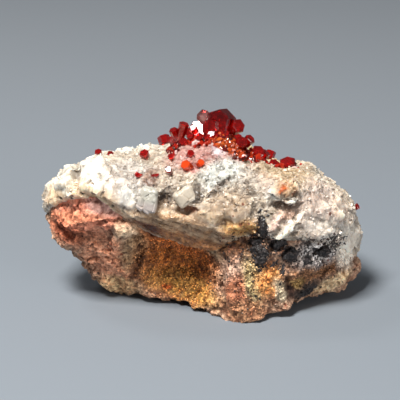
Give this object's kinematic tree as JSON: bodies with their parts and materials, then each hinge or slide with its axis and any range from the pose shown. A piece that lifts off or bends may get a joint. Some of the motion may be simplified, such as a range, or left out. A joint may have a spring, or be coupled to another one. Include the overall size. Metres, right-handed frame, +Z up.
{
  "type": "vanadinite mineral specimen",
  "caption": "Hand-size mineral specimen of red hexagonal vanadinite crystals on a white barite crust over broken host rock, resting on its flat-worn feet.",
  "frame": {"origin": "on the surface the specimen rests on, under the middle of its length and depth", "axes": "+X along the specimen's length to the right, -Y towards the front, +Z up"},
  "size_m": [0.0643, 0.0388, 0.0385],
  "materials": {
    "host_rock": "rough broken rock, golden brown, salmon pink and cream",
    "barite": "coarse granular crystal crust, cream white",
    "barite_clear": "translucent white crystal, vitreous",
    "vanadinite": "translucent deep red crystal, resinous lustre",
    "vanadinite_amber": "translucent orange-red crystal, resinous lustre",
    "manganese_oxide": "black botryoidal crust, dull"
  },
  "bodies": {
    "root": {"host_rock": "host_rock", "barite_crust": "barite", "barite_pane": "barite_clear", "barite_knob": "barite_clear", "barite_grain": "barite_clear", "manganese_column": "manganese_oxide", "manganese_nodule_right": "manganese_oxide", "manganese_nodule_round": "manganese_oxide", "manganese_nodule_upper": "manganese_oxide", "manganese_streak": "manganese_oxide", "vanadinite_summit": "vanadinite", "vanadinite_left_spur": "vanadinite", "vanadinite_glint_plates": "vanadinite", "vanadinite_shoulder": "vanadinite", "vanadinite_right_step": "vanadinite", "vanadinite_back_cluster": "vanadinite", "vanadinite_ridge_small": "vanadinite", "vanadinite_ridge_end": "vanadinite", "vanadinite_crust_amber_left": "vanadinite_amber", "vanadinite_crust_amber_right": "vanadinite_amber", "vanadinite_crust_red_left": "vanadinite", "vanadinite_crust_red_right": "vanadinite", "vanadinite_crust_red_low": "vanadinite", "vanadinite_plateau_pair": "vanadinite", "vanadinite_plateau_left": "vanadinite", "vanadinite_plateau_far_left": "vanadinite", "vanadinite_face_upper": "vanadinite", "vanadinite_face_lower": "vanadinite", "vanadinite_right_end": "vanadinite", "vanadinite_back_low": "vanadinite", "vanadinite_back_left": "vanadinite", "vanadinite_back_face": "vanadinite", "vanadinite_back_right": "vanadinite"}
  },
  "joints": []
}
